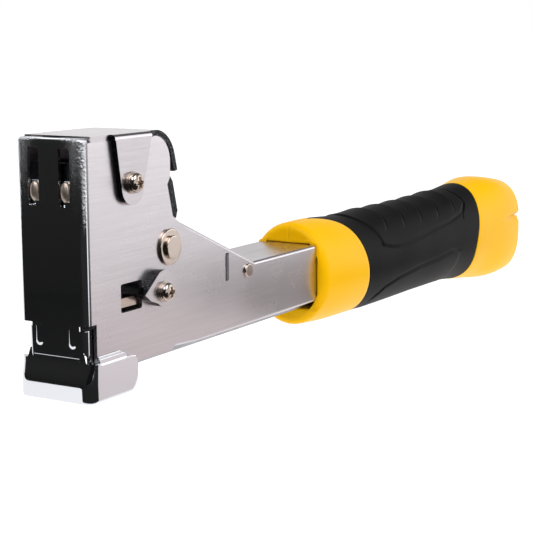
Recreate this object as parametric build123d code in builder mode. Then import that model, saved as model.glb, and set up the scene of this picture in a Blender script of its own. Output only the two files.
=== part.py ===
"""Hammer tacker: a swinging magazine and nose inside a two-part steel housing with a moulded grip.

Frame: X runs from the front of the head to the butt, Y across the tool, Z up from the striking face.
The origin is on the striking face, in the middle of the head, level with the outside of the front plate.
All sizes are in millimetres.
"""
from build123d import *
import os

os.makedirs("parts", exist_ok=True)

# ---------------------------------------------------------------- driving sizes
HALF_W = 12.4          # half width of the housing over its side plates
SHEET = 1.2            # side and front plate thickness
CAP_SHEET = 1.8        # top cap thickness
FOLD = 1.4             # rise of the front plate where it folds over the head
CAP_FRONT = 4.5        # front edge of the top cap, behind that fold
HEAD_TOP = 78.4        # top edge of the side plates
FRONT_BOTTOM = 23.8    # bottom edge of the front plate
TUBE_TOP = 30.2        # handle tube, top face
TUBE_BOTTOM = 8.4      # handle tube, bottom edge
TUBE_END = 170.0       # rear end of the handle tube, inside the grip collar
LIP_Y = 9.0            # the tube's lower lips reach in to here on each side
PIVOT_X, PIVOT_Z = 323.0, 19.5      # hinge of the magazine
SLOT_Y, SLOT_W = 5.8, 4.2           # guide slots in the front plate
SLOT_Z0, SLOT_Z1 = 59.4, 76.9
RIVET_X, RIVET_Z = 44.3, 42.4       # large stepped rivet
CAP_SCREW = (22.6, 65.2)            # upper through screw, X and Z
LOW_SCREW = (36.6, 29.3)            # lower through screw, X and Z
SMALL_RIVET = (92.6, 27.8)          # rivet across the tube, X and Z
BRACKET_X = 79.2                    # spring bracket, where its ears pass the side plates
SPRING_X = 62.0                     # return spring axis
FOOT_Y = 14.2                       # half width of the foot
CHANNEL_Y = 7.2                     # half width of the magazine channel
CHANNEL_Z0, CHANNEL_Z1 = 6.0, 14.3
RAIL_Y = 4.0                        # half width of the staple rail
ROD_Z = 8.0                         # height of the loading rod


def save(name, shape):
    """Label one finished piece and write it to the parts folder."""
    shape.label = name
    export_step(shape, f"parts/{name}.step")
    box = shape.bounding_box()
    print(f"{name:18s} {box.min.X:7.1f} {box.max.X:7.1f} {box.min.Y:6.1f} {box.max.Y:6.1f} "
          f"{box.min.Z:6.1f} {box.max.Z:6.1f} solids {len(shape.solids())}")


def side_plane(y):
    """Plane facing -Y at the given y, with its own axes along X and Z."""
    return Plane.XZ.offset(-y)


# ---------------------------------------------------------------- side plates
# Each housing half is one pressing: the tall head, the sloping shoulder and the handle tube.
with BuildPart() as side_near:
    with BuildSketch(side_plane(-HALF_W + SHEET)) as outline:
        with BuildLine():
            Polyline((38, HEAD_TOP), (2.2, HEAD_TOP), (2.2, FRONT_BOTTOM), (5.5, FRONT_BOTTOM), (5.5, 12),
                     (9, TUBE_BOTTOM), (45, TUBE_BOTTOM), (46.3, 9.2), (60, TUBE_BOTTOM),
                     (TUBE_END, TUBE_BOTTOM), (TUBE_END, TUBE_TOP), (97.6, TUBE_TOP), (48.5, 50.9),
                     (46.8, 52.0), (43.9, 62.6), (45.6, 65), (45.6, 69.5))
            ThreePointArc((45.6, 69.5), (43.4, 75.6), (38, HEAD_TOP))
        make_face()
        with Locations((23.5, 29.6)):
            RectangleRounded(11, 9, 0.8, mode=Mode.SUBTRACT)
        with Locations((BRACKET_X, 30.9)):
            Rectangle(1.9, 9.6, mode=Mode.SUBTRACT)
        with Locations(CAP_SCREW, LOW_SCREW):
            Circle(2.0, mode=Mode.SUBTRACT)
        with Locations((RIVET_X, RIVET_Z)):
            Circle(4.0, mode=Mode.SUBTRACT)
        with Locations(SMALL_RIVET):
            Circle(1.5, mode=Mode.SUBTRACT)
    extrude(amount=SHEET)
    # upper flange, over the shoulder and along the tube, up to the centre seam
    with BuildSketch(side_plane(-0.06)):
        Polygon((48.5, 50.9), (97.6, TUBE_TOP), (TUBE_END, TUBE_TOP), (TUBE_END, TUBE_TOP - SHEET),
                (97.3, TUBE_TOP - SHEET), (48.0, 49.8), align=None)
    extrude(amount=HALF_W - 0.06)
    # lower lip of the tube
    with BuildSketch(side_plane(-LIP_Y)):
        Polygon((60, TUBE_BOTTOM), (TUBE_END, TUBE_BOTTOM), (TUBE_END, TUBE_BOTTOM + SHEET),
                (60, TUBE_BOTTOM + SHEET), align=None)
    extrude(amount=HALF_W - LIP_Y)
    long_edges = [e for e in side_near.edges()
                  if abs(e.center().Y + HALF_W) < 0.01 and e.length > 50
                  and (e.center().Z > 29 or e.center().X > 100)]
    fillet(long_edges, 1.1)
side_far = mirror(side_near.part, about=Plane.XZ)
save("side_plate_near", side_near.part)
save("side_plate_far", side_far)

# ---------------------------------------------------------------- front plate
# A pressed cover that wraps both front corners and folds over the top of the head. Two upright slots
# guide the nose.
with BuildPart() as front_plate:
    with BuildSketch(Plane.XY.offset(FRONT_BOTTOM)):
        with Locations((2.2, 0)):
            RectangleRounded(4.4, 2 * HALF_W, 2.1)
    extrude(amount=HEAD_TOP + FOLD - FRONT_BOTTOM)
    fillet(front_plate.faces().sort_by(Axis.Z)[-1].edges(), 1.2)
    with BuildSketch(Plane.XY.offset(FRONT_BOTTOM)):
        with Locations((SHEET, 0)):
            RectangleRounded(6, 2 * (HALF_W - SHEET), 0.9, align=(Align.MIN, Align.CENTER))
        with Locations((2.2, 0)):
            Rectangle(6, 30, align=(Align.MIN, Align.CENTER))
    extrude(amount=HEAD_TOP - FRONT_BOTTOM, mode=Mode.SUBTRACT)
    with BuildSketch(Plane.YZ.offset(-1)):
        with Locations((SLOT_Y, (SLOT_Z0 + SLOT_Z1) / 2), (-SLOT_Y, (SLOT_Z0 + SLOT_Z1) / 2)):
            RectangleRounded(SLOT_W, SLOT_Z1 - SLOT_Z0, 0.7)
    extrude(amount=3, mode=Mode.SUBTRACT)
save("front_plate", front_plate.part)

# ---------------------------------------------------------------- top cap
# A thick folded plate: flat top, a screw tab down each side and a leaf that curls down the back.
with BuildPart() as top_cap:
    with BuildSketch(Plane.XZ.offset(-HALF_W - CAP_SHEET)):
        with BuildLine():
            Polyline((38.5, HEAD_TOP), (CAP_FRONT, HEAD_TOP), (CAP_FRONT, HEAD_TOP + CAP_SHEET),
                     (39, HEAD_TOP + CAP_SHEET))
            ThreePointArc((39, HEAD_TOP + CAP_SHEET), (45.2, 77.2), (48.2, 72.4))
            Polyline((48.2, 72.4), (49.7, 66.8), (47.9, 66.4), (46.4, 71.8))
            ThreePointArc((46.4, 71.8), (43.8, 76.0), (38.5, HEAD_TOP))
        make_face()
    extrude(amount=2 * (HALF_W + CAP_SHEET))
    # the leaf and the front edge are only as wide as the side plates
    with Locations((48, HALF_W + 2, 72), (48, -HALF_W - 2, 72)):
        Box(28, 4, 30, mode=Mode.SUBTRACT)
    with Locations((7, HALF_W + 2, 79), (7, -HALF_W - 2, 79)):
        Box(14.8, 4, 6, mode=Mode.SUBTRACT)
    for side in (1, -1):
        with BuildSketch(side_plane(HALF_W if side < 0 else -HALF_W)):
            with BuildLine():
                Polyline((33.6, HEAD_TOP + CAP_SHEET), (14.4, HEAD_TOP + CAP_SHEET), (17.4, 62.6))
                ThreePointArc((17.4, 62.6), (22.4, 58.2), (28.2, 61.6))
                Line((28.2, 61.6), (33.6, HEAD_TOP + CAP_SHEET))
            make_face()
            with Locations(CAP_SCREW):
                Circle(2.0, mode=Mode.SUBTRACT)
        extrude(amount=CAP_SHEET * side)
    top_edges = [e for e in top_cap.edges()
                 if abs(abs(e.center().Y) - HALF_W - CAP_SHEET) < 0.05 and abs(e.center().Z - 80.2) < 0.05]
    fillet(top_edges, 1.4)
save("top_cap", top_cap.part)

# ---------------------------------------------------------------- rear plate
# Bent closing plate under the leaf, lying against the rear edges of the side plates.
with BuildPart() as rear_plate:
    with BuildSketch(side_plane(HALF_W)):
        Polygon((43.9, 62.6), (45.6, 65.0), (47.0, 63.2), (49.5, 53.6), (48.6, 51.2), (46.8, 52.0), align=None)
    extrude(amount=2 * HALF_W)
save("rear_plate", rear_plate.part)

# ---------------------------------------------------------------- driver blade and carrier
# The blade hangs from a folded strap held by the upper screw, and drives the staples down.
with BuildPart() as driver_blade:
    with BuildSketch(Plane.YZ.offset(3.7)):
        Polygon((-5.3, 12.2), (5.3, 12.2), (5.3, 33), (3.1, 36), (3.1, 72), (-3.1, 72), (-3.1, 36),
                (-5.3, 33), align=None)
    extrude(amount=1.0)
save("driver_blade", driver_blade.part)

with BuildPart() as driver_carrier:
    with BuildSketch(Plane.XY.offset(58.5)):
        with Locations((4.7, 0)):
            Rectangle(25.3, 6.2, align=(Align.MIN, Align.CENTER))
        with Locations((5.6, 0)):
            Rectangle(24.4, 2 * (HALF_W - SHEET), align=(Align.MIN, Align.CENTER))
        with Locations((17.5, 0)):
            RectangleRounded(20, 17.6, 1.5, mode=Mode.SUBTRACT)
    extrude(amount=13.5)
    with BuildSketch(side_plane(15)):
        with Locations(CAP_SCREW):
            Circle(2.05)
    extrude(amount=30, mode=Mode.SUBTRACT)
save("driver_carrier", driver_carrier.part)


# ---------------------------------------------------------------- through screws and nuts
def screw(x, z, face_y):
    """Cross-recess pan head screw along Y with a round washer, its head on the near side."""
    with BuildPart() as item:
        with BuildSketch(side_plane(-face_y)):
            with Locations((x, z)):
                Circle(3.4)
        extrude(amount=0.9)
        with BuildSketch(side_plane(-face_y - 0.9)):
            with Locations((x, z)):
                Circle(3.1)
        extrude(amount=2.3)
        rim = [e for e in item.edges() if abs(e.center().Y + face_y + 3.2) < 0.01]
        fillet(rim, 1.5)
        with BuildSketch(side_plane(-face_y - 1.7)):
            with Locations((x, z)):
                Rectangle(3.5, 0.8)
                Rectangle(0.8, 3.5)
        extrude(amount=3, mode=Mode.SUBTRACT)
        with BuildSketch(side_plane(-face_y)):
            with Locations((x, z)):
                Circle(1.96)
        extrude(amount=-2 * face_y - 4.2)
    return item.part


def nut(x, z, face_y):
    """Plain hexagon nut on the far end of a through screw."""
    with BuildPart() as item:
        with BuildSketch(side_plane(face_y + 3.2)):
            with Locations((x, z)):
                RegularPolygon(4.05, 6)
                Circle(2.0, mode=Mode.SUBTRACT)
        extrude(amount=3.2)
    return item.part


PAD = 3.2
CAP_FACE = HALF_W + CAP_SHEET
PAD_FACE = HALF_W + PAD
save("screws", Compound(children=[screw(*CAP_SCREW, CAP_FACE), screw(*LOW_SCREW, PAD_FACE)]))
save("nuts", Compound(children=[nut(*CAP_SCREW, CAP_FACE), nut(*LOW_SCREW, PAD_FACE)]))

# ---------------------------------------------------------------- screw pads
# A thick sheared pad under each end of the lower screw, with a sloping front edge.
pads = []
for side in (1, -1):
    with BuildPart() as pad:
        with BuildSketch(side_plane(-side * HALF_W)):
            with BuildLine():
                Polyline((33.4, 25.9), (29.4, 27.4), (26.4, 29.6), (34.2, 35.6))
                ThreePointArc((34.2, 35.6), (40.9, 34.8), (43.4, 29.6))
                ThreePointArc((43.4, 29.6), (39.4, 24.7), (33.4, 25.9))
            make_face()
            with Locations(LOW_SCREW):
                Circle(2.0, mode=Mode.SUBTRACT)
        extrude(amount=side * PAD)
    pads.append(pad.part)
save("screw_pads", Compound(children=pads))

# ---------------------------------------------------------------- spacer, rivets and window bar
with BuildPart() as spacer:
    with BuildSketch(side_plane(HALF_W - SHEET)):
        with Locations(LOW_SCREW):
            Circle(3.3)
            Circle(2.02, mode=Mode.SUBTRACT)
    extrude(amount=2 * (HALF_W - SHEET))
save("spacer_tube", spacer.part)

with BuildPart() as stepped_rivet:
    with BuildSketch(side_plane(HALF_W)):
        with Locations((RIVET_X, RIVET_Z)):
            Circle(3.98)
    extrude(amount=2 * HALF_W)
    for side in (1, -1):
        with BuildSketch(side_plane(-side * HALF_W)):
            with Locations((RIVET_X, RIVET_Z)):
                Circle(6.0)
        extrude(amount=side * 1.0)
        with BuildSketch(side_plane(-side * (HALF_W + 1.0))):
            with Locations((RIVET_X, RIVET_Z)):
                Circle(3.9)
        extrude(amount=side * 1.1)
    rims = [e for e in stepped_rivet.edges() if e.geom_type == GeomType.CIRCLE
            and (abs(abs(e.center().Y) - HALF_W - 1.0) < 0.01 and e.radius > 5
                 or abs(abs(e.center().Y) - HALF_W - 2.1) < 0.01)]
    fillet(rims, 0.5)
save("stepped_rivet", stepped_rivet.part)

with BuildPart() as small_rivet:
    with BuildSketch(side_plane(HALF_W)):
        with Locations(SMALL_RIVET):
            Circle(1.48)
    extrude(amount=2 * HALF_W)
    for side in (1, -1):
        with BuildSketch(side_plane(-side * HALF_W)):
            with Locations(SMALL_RIVET):
                Circle(2.5)
        extrude(amount=side * 0.9)
    rims = [e for e in small_rivet.edges() if abs(abs(e.center().Y) - HALF_W - 0.9) < 0.01]
    fillet(rims, 0.5)
save("small_rivet", small_rivet.part)

with BuildPart() as window_bar:
    with Locations((23.5, 0, 27.8)):
        Box(10.6, 2 * (HALF_W - SHEET), 2.9)
    fillet(window_bar.edges().filter_by(Axis.Y), 0.6)
save("window_bar", window_bar.part)

# ---------------------------------------------------------------- spring bracket and return spring
# The bracket hooks its ears through the side plates and backs the top of the return spring.
with BuildPart() as spring_bracket:
    with BuildSketch(side_plane(HALF_W - SHEET)):
        Polygon((BRACKET_X - 0.8, 25.2), (BRACKET_X + 0.8, 25.2), (BRACKET_X + 0.8, 35.6), (52, 35.6),
                (52, 34.2), (BRACKET_X - 0.8, 34.2), align=None)
    extrude(amount=2 * (HALF_W - SHEET))
    with Locations((BRACKET_X, 0, 30.9)):
        Box(1.6, 2 * HALF_W + 0.4, 9.0)
    with BuildSketch(Plane.XY.offset(31)):
        with Locations((SPRING_X, 0)):
            Circle(2.6)
    extrude(amount=3.2)
save("spring_bracket", spring_bracket.part)

coil = Helix(pitch=3.3, height=18.6, radius=4.4, center=(SPRING_X, 0, 14.95))
with BuildPart() as return_spring:
    with BuildLine():
        add(coil)
    with BuildSketch(Plane(origin=coil @ 0, z_dir=coil % 0)):
        Circle(0.55)
    sweep(is_frenet=True)
save("return_spring", return_spring.part)

# ---------------------------------------------------------------- grip
# (x, centre height, half width, half height) of the oval grip from the collar to the butt
SECTIONS = ((142.6, 18.0, 16.9, 19.8), (158, 17.5, 17.8, 20.4), (180, 16.6, 18.0, 20.0), (210, 16.1, 18.0, 19.8),
            (245, 16.0, 17.9, 19.8), (280, 16.0, 18.1, 20.8), (302, 15.7, 18.6, 23.0), (322, 15.3, 19.0, 24.6),
            (347, 13.8, 17.4, 22.6))
INNER = ((165, 17.2, 15.2, 17.6), (200, 16.2, 15.2, 17.1), (245, 16.0, 15.2, 17.0),
         (282, 16.0, 15.4, 18.2), (312, 15.7, 16.2, 21.0))


def oval_loft(stations):
    """Smooth body through oval cross-sections."""
    with BuildPart() as body:
        for x, z, a, b in stations:
            with BuildSketch(Plane(origin=(x, 0, z), x_dir=(0, 1, 0), z_dir=(1, 0, 0))):
                Ellipse(a, b)
        loft()
    return body.part


def side_prism(points_top, front_mid, front_low, rear_low, rear_mid):
    """Block across the grip between two curved end lines seen from the side."""
    with BuildPart() as block:
        with BuildSketch(side_plane(30)):
            with BuildLine():
                Line(points_top[1], points_top[0])
                ThreePointArc(points_top[0], front_mid, front_low)
                Line(front_low, rear_low)
                ThreePointArc(rear_low, rear_mid, points_top[1])
            make_face()
        extrude(amount=60)
    return block.part


full_grip = oval_loft(SECTIONS)
full_grip = fillet(full_grip.faces().sort_by(Axis.X)[0].edges(), 3.0)
full_grip = fillet(full_grip.faces().sort_by(Axis.X)[-1].edges(), 9.0)
inner_grip = oval_loft(INNER)
sleeve_block = side_prism(((171.5, 46), (308, 46)), (177.5, 18), (188, -14), (302, -16), (294.5, 20))
sleeve = (full_grip & sleeve_block) - inner_grip
save("grip_sleeve", sleeve)

core_solid = full_grip - sleeve
with BuildPart() as grip_core:
    add(core_solid)
    # room for the end of the tube, then a narrower tunnel for the magazine
    with Locations((140, 0, 5.2)):
        Box(TUBE_END + 0.2 - 140, 2 * HALF_W + 0.04, TUBE_TOP + 0.02 - 5.2,
            align=(Align.MIN, Align.CENTER, Align.MIN), mode=Mode.SUBTRACT)
        Box(195, 17.6, 19.6, align=(Align.MIN, Align.CENTER, Align.MIN), mode=Mode.SUBTRACT)
    with BuildSketch(side_plane(HALF_W)):
        with Locations((PIVOT_X, PIVOT_Z)):
            Circle(2.0)
    extrude(amount=2 * HALF_W, mode=Mode.SUBTRACT)
    # socket for the end knob, open to the rear and into the tube
    with BuildSketch(Plane.YZ.offset(334)):
        with Locations((0, 8.0)):
            RectangleRounded(21.4, 20.4, 5)
    extrude(amount=20, mode=Mode.SUBTRACT)
    # the lower lobe stops short to seat the knob's flange
    with Locations((343.7, 0, 19.6)):
        Box(10, 60, 60, align=(Align.MIN, Align.CENTER, Align.MAX), mode=Mode.SUBTRACT)
    # parting notch between the two lobes of the butt
    with BuildSketch(side_plane(25)):
        Polygon((340.5, 19.6), (349, 20.9), (349, 18.3), align=None)
    extrude(amount=50, mode=Mode.SUBTRACT)
save("grip_core", grip_core.part)

# ---------------------------------------------------------------- magazine hinge pin
with BuildPart() as hinge_pin:
    with BuildSketch(side_plane(HALF_W)):
        with Locations((PIVOT_X, PIVOT_Z)):
            Circle(2.0)
    extrude(amount=2 * HALF_W)
save("hinge_pin", hinge_pin.part)

# ---------------------------------------------------------------- foot
# Heavy formed striking foot: a front wall and two wings outside the side plates.
with BuildPart() as foot:
    with BuildSketch(Plane.XY):
        with Locations((-0.4, 0)):
            RectangleRounded(50, 2 * FOOT_Y, 4.0, align=(Align.MIN, Align.CENTER))
        with Locations((1.5, 0)):
            RectangleRounded(60, 2 * (FOOT_Y - 1.4), 2.6, align=(Align.MIN, Align.CENTER), mode=Mode.SUBTRACT)
    extrude(amount=12.2)
    with BuildSketch(side_plane(20)):
        with BuildLine():
            Polyline((-2, 0), (-2, 12.2), (5, 12.2), (6.2, 11.4), (21.6, 11.4))
            ThreePointArc((21.6, 11.4), (23.2, 10.8), (23.8, 9.2))
            Line((23.8, 9.2), (23.8, 5.2))
            ThreePointArc((23.8, 5.2), (22.2, 1.6), (18.4, 0))
            Line((18.4, 0), (-2, 0))
        make_face()
    extrude(amount=40, mode=Mode.INTERSECT)
    # rolled hem above the wings, close to the side plates
    for side in (1, -1):
        with Locations((9.8, side * 13.15, 12.5)):
            Box(9.6, 0.7, 2.6)
save("foot", foot.part)

# ---------------------------------------------------------------- nose plate and guide lugs
# The nose plate closes the throat in front, slides inside the front plate and carries the lugs.
with BuildPart() as nose_plate:
    with BuildSketch(Plane.XY.offset(0.6)):
        with Locations((1.5, 0)):
            RectangleRounded(37, 21.8, 2.0, align=(Align.MIN, Align.CENTER))
        with Locations((2.7, 0)):
            RectangleRounded(60, 19.4, 0.5, align=(Align.MIN, Align.CENTER), mode=Mode.SUBTRACT)
        with Locations((20, 0)):
            Rectangle(60, 60, align=(Align.MIN, Align.CENTER), mode=Mode.SUBTRACT)
    extrude(amount=66.6)
    # above the throat only two straps run up to the lugs
    with Locations((0, 0, 30)):
        Box(60, 7.8, 60, align=(Align.CENTER, Align.CENTER, Align.MIN), mode=Mode.SUBTRACT)
    with Locations((17.6, 0, 0)):
        Box(60, 60, 60, align=(Align.MIN, Align.CENTER, Align.MIN), mode=Mode.SUBTRACT)
    with Locations((2.72, 0, 22)):
        Box(60, 60, 60, align=(Align.MIN, Align.CENTER, Align.MIN), mode=Mode.SUBTRACT)
    for side in (1, -1):
        with Locations((0, side * 9.3, 30)):
            Box(60, 10, 60, align=(Align.CENTER, Align.MIN if side > 0 else Align.MAX, Align.MIN),
                mode=Mode.SUBTRACT)
    # pressed dimples
    with BuildSketch(Plane.YZ.offset(1.0)):
        with Locations((6.3, 20.2), (-6.3, 20.2)):
            SlotOverall(7.6, 2.7, rotation=90)
    extrude(amount=1.0, mode=Mode.SUBTRACT)
save("nose_plate", nose_plate.part)

lugs = []
for side in (1, -1):
    with BuildPart() as lug:
        with BuildSketch(Plane.YZ.offset(-0.6)):
            with Locations((side * SLOT_Y, 63.75)):
                RectangleRounded(3.4, 6.3, 0.6)
        extrude(amount=2.1)
        fillet(lug.faces().sort_by(Axis.X)[0].edges(), 0.35)
    lugs.append(lug.part)
save("guide_lugs", Compound(children=lugs))

# ---------------------------------------------------------------- throat block
# Hardened block that joins the nose, foot and magazine and backs the staple being driven.
with BuildPart() as throat_block:
    with BuildSketch(Plane.XY.offset(0.9)):
        with Locations((5.4, 0)):
            Rectangle(14.6, 19.4, align=(Align.MIN, Align.CENTER))
    extrude(amount=4.9)
    for side in (1, -1):
        with Locations((6.0, side * 8.45, 5.8)):
            Box(14, 2.5, 7.2, align=(Align.MIN, Align.CENTER, Align.MIN))
        with Locations((2.7, side * 7.55, 0.9)):
            Box(2.7, 3.78, 11, align=(Align.MIN, Align.CENTER, Align.MIN))
save("throat_block", throat_block.part)

# ---------------------------------------------------------------- magazine channel, rail and hinge ears
with BuildPart() as channel:
    with BuildSketch(Plane.YZ.offset(6.0)):
        with Locations((0, CHANNEL_Z0)):
            Rectangle(2 * CHANNEL_Y, CHANNEL_Z1 - CHANNEL_Z0, align=(Align.CENTER, Align.MIN))
            Rectangle(2 * CHANNEL_Y - 1.8, CHANNEL_Z1 - CHANNEL_Z0 - 0.9, align=(Align.CENTER, Align.MIN),
                      mode=Mode.SUBTRACT)
    extrude(amount=325)
    top = [e for e in channel.edges().filter_by(Axis.X)
           if abs(e.center().Z - CHANNEL_Z1) < 0.01]
    fillet(top, 1.1)
    with BuildSketch(Plane.XY.offset(CHANNEL_Z1)):
        with Locations((SPRING_X, 0)):
            Circle(2.6)
    extrude(amount=2.2)
save("magazine_channel", channel.part)

with BuildPart() as rail:
    with BuildSketch(Plane.YZ.offset(5.6)):
        with Locations((0, 5.9)):
            Rectangle(2 * RAIL_Y, 4.7, align=(Align.CENTER, Align.MIN))
            Rectangle(2 * RAIL_Y - 1.5, 3.9, align=(Align.CENTER, Align.MIN), mode=Mode.SUBTRACT)
    extrude(amount=325)
    # slot along the roof for the follower's neck
    with Locations((112, 0, 8)):
        Box(215, 2.6, 8, align=(Align.MIN, Align.CENTER, Align.MIN), mode=Mode.SUBTRACT)
    # feet that carry the rail on the throat block and between the channel sides
    with Locations((12.8, 0, 5.8)):
        Box(14.4, 8.0, 0.6, align=(Align.CENTER, Align.CENTER, Align.MIN))
    for side in (1, -1):
        with Locations((328.6, side * 5.15, 6.1)):
            Box(4, 2.3, 2.0, align=(Align.CENTER, Align.CENTER, Align.MIN))
save("staple_rail", rail.part)

ears = []
for side in (1, -1):
    with BuildPart() as ear:
        with BuildSketch(side_plane(-side * CHANNEL_Y)):
            with BuildLine():
                Polyline((319.2, 19.5), (313, 12), (313, 6.6), (331, 6.6), (331, 12), (326.8, 19.5))
                ThreePointArc((326.8, 19.5), (323, 23.3), (319.2, 19.5))
            make_face()
            with Locations((PIVOT_X, PIVOT_Z)):
                Circle(2.05, mode=Mode.SUBTRACT)
        extrude(amount=side * 1.2)
    ears.append(ear.part)
save("hinge_ears", Compound(children=ears))

# ---------------------------------------------------------------- staples
# One cemented strip of staples standing astride the rail.
with BuildPart() as staples:
    with BuildSketch(Plane.YZ.offset(5.6)):
        with Locations((0, 5.9)):
            Rectangle(10.6, 6.0, align=(Align.CENTER, Align.MIN))
            Rectangle(8.7, 5.05, align=(Align.CENTER, Align.MIN), mode=Mode.SUBTRACT)
    extrude(amount=106)
save("staple_strip", staples.part)

# ---------------------------------------------------------------- follower, loading rod and knob
with BuildPart() as follower:
    with BuildSketch(Plane.YZ.offset(112)):
        with Locations((0, 6.1)):
            Rectangle(11.0, 6.6, align=(Align.CENTER, Align.MIN))
            Rectangle(8.7, 4.85, align=(Align.CENTER, Align.MIN), mode=Mode.SUBTRACT)
    extrude(amount=14)
    with Locations((117.2, 0, 6.3)):
        Box(8, 5.6, 3.1, align=(Align.MIN, Align.CENTER, Align.MIN))
    with Locations((117.2, 0, 6.3)):
        Box(8, 1.8, 6, align=(Align.MIN, Align.CENTER, Align.MIN))
    with BuildSketch(Plane.YZ.offset(110)):
        with Locations((0, ROD_Z - 0.15)):
            Circle(1.3)
    extrude(amount=20, mode=Mode.SUBTRACT)
save("follower", follower.part)

with BuildPart() as loading_rod:
    for x0, x1, radius in ((113.5, 115.5, 1.7), (115.5, 336.5, 0.9), (248, 250, 1.8)):
        with BuildSketch(Plane.YZ.offset(x0)):
            with Locations((0, ROD_Z - 0.15)):
                Circle(radius)
        extrude(amount=x1 - x0)
save("loading_rod", loading_rod.part)

coil = Helix(pitch=5.6, height=121.8, radius=1.35, center=(125.7, 0, ROD_Z - 0.15), direction=(1, 0, 0))
with BuildPart() as pusher_spring:
    with BuildLine():
        add(coil)
    with BuildSketch(Plane(origin=coil @ 0, z_dir=coil % 0)):
        Circle(0.25)
    sweep(is_frenet=True)
save("pusher_spring", pusher_spring.part)

# The knob closes the rear of the magazine and is pulled to load it.
with BuildPart() as end_knob:
    with BuildSketch(Plane.YZ.offset(336.5)):
        with Locations((0, 8.4)):
            RectangleRounded(20.4, 18.6, 4.6)
    extrude(amount=8.5)
    # flange that covers the lower lobe of the butt, straight along the parting notch
    with BuildSketch(Plane.YZ.offset(344.8)):
        with Locations((0, 12.6)):
            Ellipse(15.2, 19.4)
        with Locations((0, 18.9)):
            Rectangle(60, 40, align=(Align.CENTER, Align.MIN), mode=Mode.SUBTRACT)
    extrude(amount=2.9)
save("end_knob", end_knob.part)
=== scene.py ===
import bpy, math
import numpy as np
from mathutils import Matrix, Vector


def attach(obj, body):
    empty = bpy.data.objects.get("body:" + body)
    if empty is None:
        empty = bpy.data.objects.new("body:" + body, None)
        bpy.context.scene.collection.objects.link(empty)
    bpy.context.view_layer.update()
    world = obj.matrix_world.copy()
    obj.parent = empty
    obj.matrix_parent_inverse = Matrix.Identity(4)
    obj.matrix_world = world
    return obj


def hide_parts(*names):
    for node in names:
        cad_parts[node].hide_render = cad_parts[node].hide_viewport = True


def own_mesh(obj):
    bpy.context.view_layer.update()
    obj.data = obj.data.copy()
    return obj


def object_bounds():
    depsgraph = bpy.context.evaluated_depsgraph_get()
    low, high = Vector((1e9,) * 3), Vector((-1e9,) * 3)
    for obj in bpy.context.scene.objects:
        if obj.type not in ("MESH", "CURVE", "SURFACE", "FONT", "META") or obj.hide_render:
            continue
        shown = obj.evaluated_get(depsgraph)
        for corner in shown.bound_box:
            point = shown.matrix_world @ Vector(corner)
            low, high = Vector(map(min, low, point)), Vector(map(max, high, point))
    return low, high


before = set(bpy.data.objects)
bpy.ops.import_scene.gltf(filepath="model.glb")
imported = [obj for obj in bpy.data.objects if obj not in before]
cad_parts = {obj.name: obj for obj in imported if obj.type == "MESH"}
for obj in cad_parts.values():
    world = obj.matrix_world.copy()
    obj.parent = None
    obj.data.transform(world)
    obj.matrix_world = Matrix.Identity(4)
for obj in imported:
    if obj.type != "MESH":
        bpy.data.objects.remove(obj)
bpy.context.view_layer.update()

# ------------------------------------------------------------------ room and camera
# The tacker floats just above a white sweep, seen from the front left and a little above with a long
# lens. Dark and light cards that the camera doesn't see give the plated parts something to mirror.


def linear(hexcode):
    """sRGB hex colour as linear RGBA."""
    parts = [int(hexcode[i:i + 2], 16) / 255 for i in (1, 3, 5)]
    return tuple(c / 12.92 if c <= 0.04045 else ((c + 0.055) / 1.055) ** 2.4 for c in parts) + (1.0,)


def node(tree, kind, links=None, **settings):
    """Add one shader node, set its properties or named inputs, then link inputs or give them numbers."""
    item = tree.nodes.new(kind)
    for key, value in settings.items():
        if key in item.bl_rna.properties:
            setattr(item, key, value)
        else:
            item.inputs[key.replace("_", " ")].default_value = value
    for key, source in (links or {}).items():
        if isinstance(source, (int, float)):
            item.inputs[key].default_value = source
        else:
            tree.links.new(source, item.inputs[key])
    return item


def finish(name):
    """New empty material: returns it, its node tree and its output node."""
    mat = bpy.data.materials.new(name)
    mat.use_nodes = True
    mat.node_tree.nodes.clear()
    return mat, mat.node_tree, mat.node_tree.nodes.new("ShaderNodeOutputMaterial")


def mesh_object(name, verts, faces, mat, smooth=True):
    """Mesh object from points in metres."""
    mesh = bpy.data.meshes.new(name)
    mesh.from_pydata([tuple(v) for v in verts], [], faces)
    mesh.validate()
    mesh.update()
    obj = bpy.data.objects.new(name, mesh)
    bpy.context.scene.collection.objects.link(obj)
    mesh.materials.append(mat)
    for poly in mesh.polygons:
        poly.use_smooth = smooth
    return obj


def card(name, corners, colour, glow=0.0):
    """Flat studio card through the given corners, out of the camera's sight, faintly lit if asked."""
    mat, tree, out = finish(name + "_paint")
    paint = node(tree, "ShaderNodeBsdfPrincipled", Base_Color=linear(colour), Roughness=1.0,
                 Specular_IOR_Level=0.0, Emission_Color=linear(colour), Emission_Strength=glow)
    tree.links.new(paint.outputs[0], out.inputs["Surface"])
    obj = mesh_object(name, corners, [tuple(range(len(corners)))], mat, smooth=False)
    obj.visible_camera = False


world = bpy.data.worlds.new("studio_room")
world.use_nodes = True
sky = world.node_tree
sky.nodes.clear()
sky_out = sky.nodes.new("ShaderNodeOutputWorld")
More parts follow.
